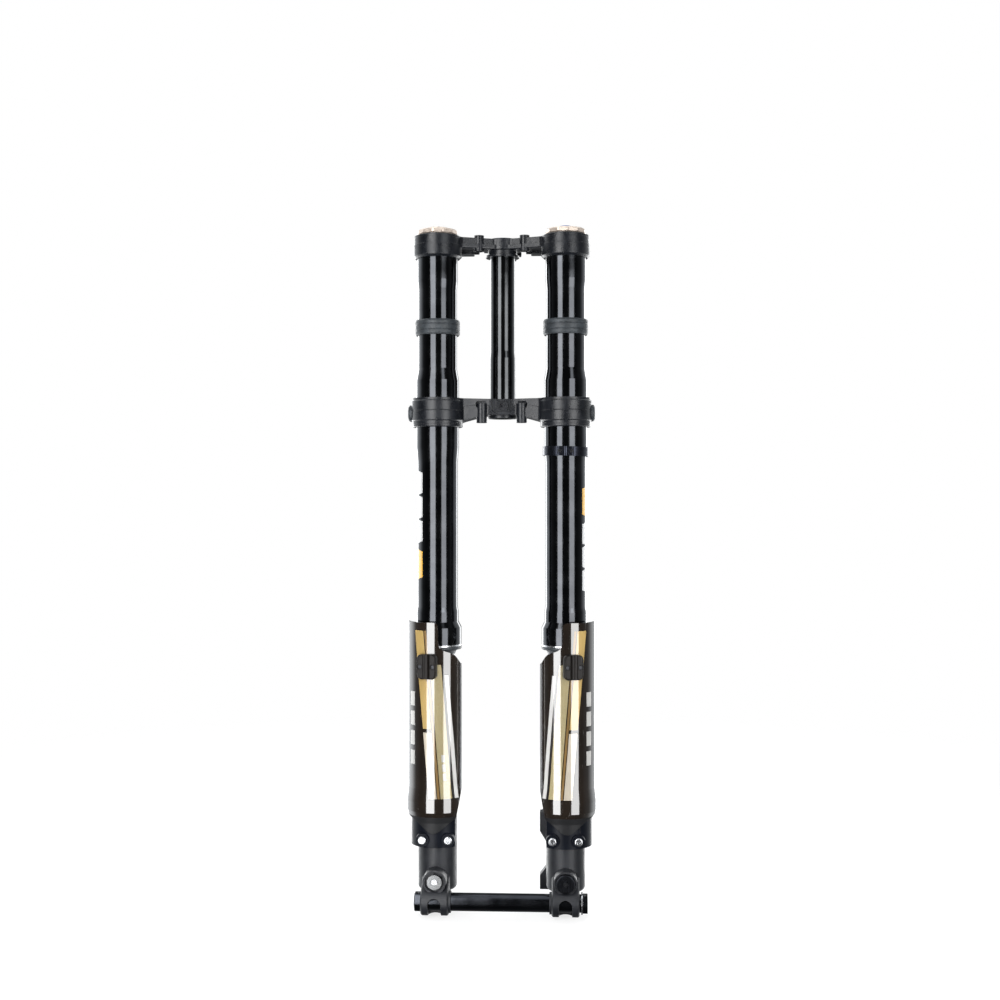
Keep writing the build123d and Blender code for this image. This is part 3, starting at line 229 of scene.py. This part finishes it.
def casting(name, colour, rough, grain):
    """Forged or cast alloy under a satin finish: pebbled grain, bright specks and rubbed edges."""
    s = Shader(name)
    pebble = s.noise(grain, detail=6, rough=0.65)
    pits = s.cells(grain * 1.6)
    blotch = s.noise(14, detail=3)
    edge = s.math("MULTIPLY", s.edge_mask(0.9), s.ramp(s.noise(3), 0.40, 0.66))
    speck = s.ramp(pebble, 0.60, 0.74)
    light = tuple(c * 3.2 + 0.010 for c in colour)
    dark = tuple(c * 0.65 for c in colour)
    base = s.mix(s.ramp(blotch, 0.3, 0.7), dark, colour)
    base = s.mix(s.math("MULTIPLY", speck, 0.75), base, light)
    base = s.mix(s.math("MULTIPLY", edge, 0.45), base, (0.16, 0.16, 0.165))
    relief = s.math("ADD", pebble, s.math("MULTIPLY", pits, -0.35))
    satin = s.ramp(blotch, 0.3, 0.7, rough - 0.05, rough + 0.06)
    roughness = s.math("ADD", satin, s.math("MULTIPLY", speck, -0.10))
    s.set(base_color=base, metallic=0.0, roughness=roughness, specular_ior_level=0.42,
          normal=s.bump(relief, 0.10, after=s.soft_edges(0.7)))
    return s.material


def machined(name, colour, rough=0.24, grain=(1, 1, 0.03), wear=0.3, metal=1.0):
    """Machined or anodised fitting: cutter marks along one direction and rubbed edges."""
    s = Shader(name)
    marks = s.noise(0.25, detail=3, scale=grain)
    stain = s.noise(6, detail=4)
    edge = s.math("MULTIPLY", s.edge_mask(0.5), wear)
    base = s.mix(s.ramp(stain, 0.3, 0.7), tuple(c * 0.86 for c in colour), colour)
    base = s.mix(edge, base, tuple(min(1, c * 1.5 + 0.08) for c in colour))
    s.set(base_color=base, metallic=metal, roughness=s.ramp(marks, 0.25, 0.75, rough * 0.75, rough * 1.3),
          normal=s.bump(marks, 0.012, after=s.soft_edges(0.35)))
    return s.material


def rubber(name, colour=(0.016, 0.017, 0.019), rough=0.46):
    """Moulded rubber: soft grain with a faint bloom."""
    s = Shader(name)
    grain = s.noise(0.8, detail=5)
    bloom = s.noise(7, detail=3)
    base = s.mix(s.ramp(bloom, 0.35, 0.75), colour, tuple(c * 2.2 + 0.006 for c in colour))
    s.set(base_color=base, roughness=s.ramp(grain, 0.3, 0.7, rough - 0.06, rough + 0.10),
          normal=s.bump(grain, 0.05, after=s.soft_edges(0.4)))
    return s.material


def moulded(name, colour, rough=0.16, coat=0.6, level=0.5, matte_below=None):
    """Moulded plastic: orange peel, hairline scratches and a clear skin, matte below a height."""
    s = Shader(name)
    skin = s.noise(2.6, detail=2)
    hair = s.ramp(s.noise(1.2, detail=2, scale=(1, 1, 0.06)), 0.66, 0.72)
    scuff = s.math("MULTIPLY", hair, s.ramp(s.noise(18), 0.48, 0.66))
    cloud = s.noise(25, detail=2)
    base = s.mix(s.ramp(cloud, 0.3, 0.7), tuple(c * 0.8 for c in colour), tuple(c * 1.25 for c in colour))
    base = s.mix(s.math("MULTIPLY", scuff, 0.4), base, (0.20, 0.19, 0.18))
    roughness = s.math("ADD", rough, s.math("MULTIPLY", scuff, 0.2))
    if matte_below is not None:
        matte = s.ramp(s.height(), matte_below + 0.6, matte_below - 0.6)
        base = s.mix(matte, base, (0.0060, 0.0062, 0.0070))
        roughness = s.math("ADD", roughness, s.math("MULTIPLY", matte, 0.30))
        coat = s.math("MULTIPLY", s.math("SUBTRACT", 1.0, matte), coat)
    s.set(base_color=base, roughness=roughness, specular_ior_level=level, coat_weight=coat,
          coat_roughness=0.03, coat_ior=COAT_IOR, normal=s.bump(skin, 0.03, after=s.soft_edges(0.6)))
    return s.material


def printed(name, colour, fleck=0.0, fleck_colour=(1, 1, 1)):
    """Printed film under a gloss skin; `fleck` adds a metallic grain."""
    s = Shader(name)
    skin = s.noise(2.6, detail=2)
    tone = s.noise(16, detail=2)
    base = s.mix(s.ramp(tone, 0.3, 0.7), tuple(c * 0.90 for c in colour), colour)
    if fleck:
        grain = s.ramp(s.noise(0.55, detail=3, rough=0.8), 0.46, 0.62)
        base = s.mix(s.math("MULTIPLY", grain, fleck), base, fleck_colour)
    s.set(base_color=base, roughness=0.45, ior=1.4, coat_weight=1.0, coat_roughness=0.03, coat_ior=COAT_IOR,
          normal=s.bump(skin, 0.03))
    return s.material


def plated(name, colour=(0.80, 0.81, 0.83), rough=0.16):
    """Zinc or chrome plate with fine polishing marks and a few dull patches."""
    s = Shader(name)
    marks = s.noise(0.5, detail=3)
    dull = s.ramp(s.noise(5, detail=4), 0.45, 0.75)
    base = s.mix(dull, colour, tuple(c * 0.82 for c in colour))
    s.set(base_color=base, metallic=1.0, roughness=s.math("ADD", rough, s.math("MULTIPLY", dull, 0.12)),
          normal=s.bump(marks, 0.008, after=s.soft_edges(0.3)))
    return s.material


MATERIALS = {
    "crown_casting": casting("crown_casting", (0.0055, 0.0065, 0.0090), 0.29, 0.9),
    "outer_tube_anodised": anodised("outer_tube_anodised", (0.040, 0.042, 0.046)),
    "foot_casting": casting("foot_casting", (0.010, 0.011, 0.014), 0.42, 0.8),
    "cap_champagne": machined("cap_champagne", (0.66, 0.56, 0.48), 0.34, metal=0.6),
    "dial_blue": machined("dial_blue", (0.03, 0.14, 0.60), 0.34, metal=0.5),
    "knob_black": machined("knob_black", (0.030, 0.032, 0.038), 0.30, wear=0.15),
    "clamp_black": machined("clamp_black", (0.032, 0.035, 0.046), 0.28, wear=0.2),
    "stanchion_chrome": plated("stanchion_chrome", (0.62, 0.63, 0.66), 0.06),
    "steerer_steel": anodised("steerer_steel", (0.042, 0.044, 0.046)),
    "bolt_black": machined("bolt_black", (0.040, 0.041, 0.045), 0.34, wear=0.35),
    "bolt_bright": plated("bolt_bright", (0.56, 0.57, 0.59), 0.24),
    "spring_steel": machined("spring_steel", (0.17, 0.17, 0.18), 0.38),
    "damper_steel": machined("damper_steel", (0.56, 0.57, 0.59), 0.18),
    "axle_black": anodised("axle_black", (0.040, 0.043, 0.050), rough=0.16, dust=0.05),
    "bushing_bronze": machined("bushing_bronze", (0.42, 0.28, 0.12), 0.35),
    "rubber_black": rubber("rubber_black", (0.012, 0.015, 0.018)),
    "spacer_plastic": moulded("spacer_plastic", (0.52, 0.52, 0.49), rough=0.45, coat=0.0),
    "guard_plastic": moulded("guard_plastic", (0.008, 0.005, 0.003), coat=1.0, level=0.25,
                             matte_below=GUARD_MATTE_TOP),
    "mount_plastic": moulded("mount_plastic", (0.0035, 0.0045, 0.0075), rough=0.34, coat=0.0, level=0.12),
}

# pieces that share a slot in the record but look different
MATERIALS["guide_plastic"] = moulded("guide_plastic", (0.0045, 0.0035, 0.003), rough=0.40, coat=0.0,
                                     level=0.18)
MATERIALS["foot_bolt_steel"] = plated("foot_bolt_steel", (0.22, 0.225, 0.23), 0.22)
OWN_LOOK = {
    "left_hose_guide": "guide_plastic",
    "right_hose_guide": "guide_plastic",
    "foot_bolt": "foot_bolt_steel",
}

for part in frame["record"]["subparts"]:
    cad_node = frame["nodes"][part["node"]]
    cad_node.data.materials.clear()
    cad_node.data.materials.append(MATERIALS[OWN_LOOK.get(part["node"], part["material_slot"])])


# ---------------------------------------------------------------- printed graphics
# edges are distances outward from the leg's axis at BAND_LEVEL; below it a band leans inward by LEAN
BAND_LEVEL = -250.0
LEAN = 0.08
GUARD_BANDS = {  # outer edge, inner edge, top, bottom
    "gold": [(26, 17, -262, -372)],
    "khaki": [(12.5, 0, -300, -450)],
    "flame": [(16, 13.5, -262, -450)],
    "cream": [(26, 17, -376, -450)],
    "black": [(-1, -2.2, -300, -450)],
    "white": [(-3, -7, -312, -450)],
    "marks": [(8, 4.5, top, top - 8) for top in (-401, -411.5, -422)],
}
SIDE_BARS = [[(30, top), (25.6, top), (25.6, top - 16), (30, top - 16)] for top in (-331, -353, -375, -397)]
PRINT_LAYERS = {"gold": 0, "khaki": 0, "flame": 0, "cream": 1, "black": 2, "white": 3, "marks": 1}
TUBE_PRINT = [  # side, arc of the row, middle of the amber block, top and bottom of the white blocks
    ("left", 23.6, -187, -82, -164),
    ("right", 28.6, -116, -140, -219),
]
BLOCKS = 3
BLOCK_GAP = 0.06  # share of a block's length
BLOCK_SLANT = 3
AMBER_HALF = 16
COLUMN = 1.5  # width of the strips that a sheet is bent in
FILM = 0.10  # how far the lowest layer stands off the surface
LAYER = 0.03  # how far each further layer stands off the one below
ROOT = 0.02  # how far a sheet reaches into the surface, so that no gap shows


def guard_radius(z):
    """Outer radius of a guard at a height."""
    share = min(1, max(0, (FLARE_TOP - z) / (FLARE_TOP - FLARE_BOTTOM)))
    return GUARD_R + share * (FLARE_R - GUARD_R)


def tube_radius(z):
    """Outer radius of a tube where it is printed, the same at every height."""
    return TUBE_R


def flat_sheet(outlines):
    """Plates one film thick in the plane of (arc, depth, height), cut so that they bend smoothly."""
    bm = bmesh.new()
    for outline in outlines:
        bm.faces.new([bm.verts.new((s, 0, z)) for s, z in outline])
    bmesh.ops.triangulate(bm, faces=bm.faces)
    arcs = [v.co.x for v in bm.verts]
    columns = range(int(min(arcs) / COLUMN), int(max(arcs) / COLUMN) + 1)
    cuts = [((column * COLUMN, 0, 0), (1, 0, 0)) for column in columns]
    cuts.append(((0, 0, FLARE_TOP), (0, 0, 1)))
    for place, normal in cuts:
        bmesh.ops.bisect_plane(bm, geom=[*bm.verts, *bm.edges, *bm.faces], plane_co=place, plane_no=normal)
    for face in bm.faces:
        if face.normal.y > 0:
            face.normal_flip()
    fronts = list(bm.faces)
    made = bmesh.ops.extrude_face_region(bm, geom=fronts)
    backs = [v for v in made["geom"] if isinstance(v, bmesh.types.BMVert)]
    for v in backs:
        v.co.y = 1.0
    bmesh.ops.recalc_face_normals(bm, faces=bm.faces)
    return bm


def bent_print(name, body, axis, hand, outlines, radius, layer, material):
    """Thin closed sheets wrapped round a leg: arc 0 faces the front, positive arcs go outward."""
    bm = flat_sheet(outlines)
    mesh = bpy.data.meshes.new(name)
    lift = FILM + LAYER * layer
    turn = -radians(PRINT_TURN)
    for v in bm.verts:
        arc, depth, z = v.co
        r = radius(z)
        angle = arc / radius(0) + turn
        reach = r + lift if depth == 0 else r - ROOT
        v.co = (axis.x + hand * reach * sin(angle) * MM, axis.y - reach * cos(angle) * MM, z * MM)
    if hand < 0:
        bmesh.ops.reverse_faces(bm, faces=bm.faces)
    bmesh.ops.recalc_face_normals(bm, faces=bm.faces)
    bm.to_mesh(mesh)
    bm.free()
    normals = []
    for face in mesh.polygons:
        out = Vector((face.center.x - axis.x, face.center.y - axis.y, 0)).normalized()
        front = face.normal.dot(out) > 0.7
        face.use_smooth = True
        for corner in face.vertices:
            place = mesh.vertices[corner].co
            radial = Vector((place.x - axis.x, place.y - axis.y, 0)).normalized()
            normals.append(radial if front else face.normal.copy())
    mesh.normals_split_custom_set(normals)
    mesh.materials.append(material)
    sheet = bpy.data.objects.new(name, mesh)
    bpy.context.scene.collection.objects.link(sheet)
    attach(sheet, body)


def wrapped(outlines, radius):
    """Outlines drawn as (distance outward, height) from the front become (arc, height)."""
    return [[(radius * asin(o / radius), z) for o, z in outline] for outline in outlines]


def band(outer, inner, top, bottom):
    """Outline of a plain leaning band on a guard."""
    high, low = LEAN * (BAND_LEVEL - top), LEAN * (BAND_LEVEL - bottom)
    return [(outer - high, top), (inner - high, top), (inner - low, bottom), (outer - low, bottom)]


def guard_graphics():
    """Plain leaning bands over the dark moulding, and a row of bars beside them, mirrored left to right."""
    prints = {ink: [band(*edges) for edges in bands] for ink, bands in GUARD_BANDS.items()}
    prints["marks"] += SIDE_BARS
    for hand, sign in SIDES.items():
        for ink, outlines in prints.items():
            bent_print(f"{hand}_guard_print_{ink}", "lower", LEG[hand], sign, wrapped(outlines, GUARD_R),
                       guard_radius, PRINT_LAYERS[ink], INKS[ink])


def tube_graphics():
    """A row of plain slanted blocks, three white and one amber, on the outer side of each tube."""
    for hand, arc, amber_middle, row_top, row_bottom in TUBE_PRINT:
        near, far = arc - 4.4, arc + 8.0
        length = (row_bottom - row_top) / BLOCKS
        rows = {
            "amber": [(amber_middle + AMBER_HALF, amber_middle - AMBER_HALF)],
            "snow": [(row_top + length * i, row_top + length * (i + 1 - BLOCK_GAP)) for i in range(BLOCKS)],
        }
        for ink, row in rows.items():
            outlines = [
                [(far, top), (near, top - BLOCK_SLANT), (near, low), (far, low - BLOCK_SLANT)]
                for top, low in row
            ]
            bent_print(f"{hand}_tube_print_{ink}", "upper", LEG[hand], SIDES[hand], outlines, tube_radius, 0,
                       INKS[ink])


INKS = {
    "gold": printed("ink_gold", (0.52, 0.35, 0.11), 0.25, (0.60, 0.45, 0.20)),
    "khaki": printed("ink_khaki", (0.36, 0.29, 0.13), 0.8, (0.52, 0.46, 0.31)),
    "flame": printed("ink_flame", (0.16, 0.09, 0.02)),
    "cream": printed("ink_cream", (0.72, 0.64, 0.52)),
    "black": printed("ink_black", (0.006, 0.005, 0.005)),
    "white": printed("ink_white", (0.78, 0.77, 0.75)),
    "marks": printed("ink_marks", (0.62, 0.61, 0.58)),
    "amber": printed("ink_amber", (0.88, 0.47, 0.03)),
    "snow": printed("ink_snow", (0.78, 0.78, 0.78)),
}


# ---------------------------------------------------------------- coil spring
def coil_spring():
    """Compression spring with closed ends, carried with the upper body."""
    around, per_turn = 12, 28
    steps = SPRING_TURNS * per_turn
    low, high = SPRING_BOTTOM + SPRING_WIRE_R, SPRING_TOP - SPRING_WIRE_R
    closed = 2 * SPRING_WIRE_R + 0.2
    open_pitch = (high - low - 2 * closed) / (SPRING_TURNS - 2)
    bm = bmesh.new()
    rings = []
    for i in range(steps + 1):
        turns = i / per_turn
        z = low + closed * min(turns, 1) + open_pitch * min(max(turns - 1, 0), SPRING_TURNS - 2)
        z += closed * max(turns - SPRING_TURNS + 1, 0)
        angle = 2 * pi * turns
        ring = []
        for j in range(around):
            side = 2 * pi * j / around
            reach = SPRING_MEAN_R + SPRING_WIRE_R * cos(side)
            x = LEG["left"].x + reach * cos(angle) * MM
            y = LEG_Y + reach * sin(angle) * MM
            ring.append(bm.verts.new((x, y, (z + SPRING_WIRE_R * sin(side)) * MM)))
        rings.append(ring)
    for first, second in zip(rings, rings[1:]):
        for j in range(around):
            bm.faces.new((first[j], first[(j + 1) % around], second[(j + 1) % around], second[j]))
    bm.faces.new(rings[0])
    bm.faces.new(rings[-1])
    bmesh.ops.recalc_face_normals(bm, faces=bm.faces)
    mesh = bpy.data.meshes.new("coil_spring")
    bm.to_mesh(mesh)
    bm.free()
    mesh.polygons.foreach_set("use_smooth", [len(face.vertices) == 4 for face in mesh.polygons])
    mesh.materials.append(MATERIALS["spring_steel"])
    coil = bpy.data.objects.new("coil_spring", mesh)
    bpy.context.scene.collection.objects.link(coil)
    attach(coil, "upper")
    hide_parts("main_spring")
    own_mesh(coil)


guard_graphics()
tube_graphics()
coil_spring()


# ---------------------------------------------------------------- studio
CAMERA_DISTANCE = 1.583
CAMERA_HEIGHT = -0.1157
CAMERA_AZIMUTH = 2.8
CAMERA_SHIFT = -0.0017
FILL = 1.2  # diffuse light for each part of reflected light
FLOOR_GAP = 0.0005


def studio_world():
    """Walls beside and behind the fork, a ceiling, a high strip and a dark front; white to the camera."""
    world = bpy.data.worlds.new("studio")
    bpy.context.scene.world = world
    world.use_nodes = True
    tree = world.node_tree
    tree.nodes.clear()

    def node(kind, **settings):
        made = tree.nodes.new("ShaderNode" + kind)
        for key, value in settings.items():
            setattr(made, key, value)
        return made

    def math(operation, a, b=0.0):
        made = node("Math", operation=operation)
        for socket, value in zip(made.inputs, (a, b)):
            if isinstance(value, bpy.types.NodeSocket):
                tree.links.new(value, socket)
            else:
                socket.default_value = value
        return made.outputs[0]

    def rise(value, low, high, top=1.0):
        made = node("MapRange", interpolation_type="SMOOTHSTEP")
        tree.links.new(value, made.inputs["Value"])
        made.inputs["From Min"].default_value = low
        made.inputs["From Max"].default_value = high
        made.inputs["To Max"].default_value = top
        return made.outputs["Result"]

    axes = node("SeparateXYZ")
    tree.links.new(node("TexCoord").outputs["Generated"], axes.inputs["Vector"])
    x, y, z = axes.outputs
    compass = math("MULTIPLY", math("ARCTAN2", x, math("MULTIPLY", y, -1)), 180 / pi)
    aside = math("ABSOLUTE", compass)
    elevation = math("MULTIPLY", math("ARCSINE", z), 180 / pi)

    left_wall = math("MULTIPLY", rise(compass, -84, -116, 1.7), rise(compass, -172, -150))
    right_wall = math("MULTIPLY", rise(compass, 90, 126, 1.0), rise(compass, 172, 150))
    walls = math("ADD", left_wall, right_wall)
    walls = math("MULTIPLY", walls, rise(elevation, -60, -35))
    ceiling = rise(elevation, 50, 78, 1.2)
    upper_strip = math("MULTIPLY", rise(compass, 27, 31, 3.0), rise(compass, 47, 43))
    strip_ends = math("MULTIPLY", rise(elevation, 10, 13), rise(elevation, 48, 40))
    upper_strip = math("MULTIPLY", upper_strip, strip_ends)
    ambient = math("ADD", rise(aside, 60, 90, 0.10), 0.06)
    light = math("ADD", math("ADD", walls, ceiling), math("ADD", ambient, upper_strip))

    lit = node("Background")
    lit.inputs["Color"].default_value = (0.95, 0.98, 1.0, 1)
    tree.links.new(light, lit.inputs["Strength"])
    seen = node("Background")
    seen.inputs["Color"].default_value = (1, 1, 1, 1)
    pick = node("MixShader")
    tree.links.new(node("LightPath").outputs["Is Camera Ray"], pick.inputs[0])
    tree.links.new(lit.outputs[0], pick.inputs[1])
    tree.links.new(seen.outputs[0], pick.inputs[2])
    tree.links.new(pick.outputs[0], node("OutputWorld").inputs["Surface"])


def softbox(name, place, width, height, radiance):
    """Tall soft light aimed at the legs: one lamp seen only in reflections, one only in diffuse light."""
    for use, strength in (("shine", radiance), ("fill", radiance * FILL)):
        light = bpy.data.lights.new(f"{name}_{use}", "AREA")
        light.shape = "RECTANGLE"
        light.size = width
        light.size_y = height
        light.energy = strength * pi * width * height
        lamp = bpy.data.objects.new(f"{name}_{use}", light)
        bpy.context.scene.collection.objects.link(lamp)
        lamp.location = place
        level = Vector((-place[0], LEG_Y - place[1], 0))
        lamp.rotation_euler = level.to_track_quat("-Z", "Y").to_euler()
        lamp.visible_camera = False
        lamp.visible_diffuse = use == "fill"
        lamp.visible_glossy = use == "shine"


def lights():
    """Two strip boxes before the fork and two behind it."""
    softbox("strip_left", (-0.306, -0.634, -0.15), 0.34, 1.25, 7.0)
    softbox("strip_right", (0.74, -0.972, -0.27), 0.60, 1.18, 5.5)
    softbox("rear_left", (-0.55, 0.85, -0.2), 0.30, 1.3, 5.0)
    softbox("rear_right", (0.45, 0.80, -0.2), 0.24, 1.3, 5.0)


def floor():
    """Pale floor that fades into the white surround."""
    reach, sides = 1.9, 96
    level = cad_box[0].z - FLOOR_GAP
    mesh = bpy.data.meshes.new("floor")
    turns = [2 * pi * i / sides for i in range(sides)]
    mesh.from_pydata([(reach * cos(a), reach * sin(a), level) for a in turns], [], [range(sides)])
    slab = bpy.data.objects.new("floor", mesh)
    bpy.context.scene.collection.objects.link(slab)
    s = Shader("floor_paper")
    length = s.node("VectorMath", operation="LENGTH")
    s.feed(length.inputs[0], s.place)
    fade = s.ramp(length.outputs["Value"], 0.75, 1.6, 1.0, 0.0)
    seen = s.math("MULTIPLY", fade, s.node("LightPath").outputs["Is Camera Ray"])
    paper = s.mix(s.noise(3, detail=3), (0.30, 0.30, 0.30), (0.32, 0.32, 0.32))
    s.set(base_color=paper, roughness=0.9, alpha=seen, specular_ior_level=0.0,
          emission_color=(1, 1, 1), emission_strength=0.75)
    mesh.materials.append(s.material)


def camera():
    """Long lens at the height of the legs' middle, a little to the right of square."""
    data = bpy.data.cameras.new("camera")
    data.lens = 50
    data.sensor_width = 36
    cam = bpy.data.objects.new("camera", data)
    bpy.context.scene.collection.objects.link(cam)
    turn = radians(CAMERA_AZIMUTH)
    target = Vector((CAMERA_SHIFT, LEG_Y, CAMERA_HEIGHT))
    cam.location = target + CAMERA_DISTANCE * Vector((sin(turn), -cos(turn), 0))
    cam.rotation_euler = (target - cam.location).to_track_quat("-Z", "Y").to_euler()
    bpy.context.scene.camera = cam


studio_world()
lights()
floor()
camera()
bpy.context.scene.view_settings.view_transform = "Standard"
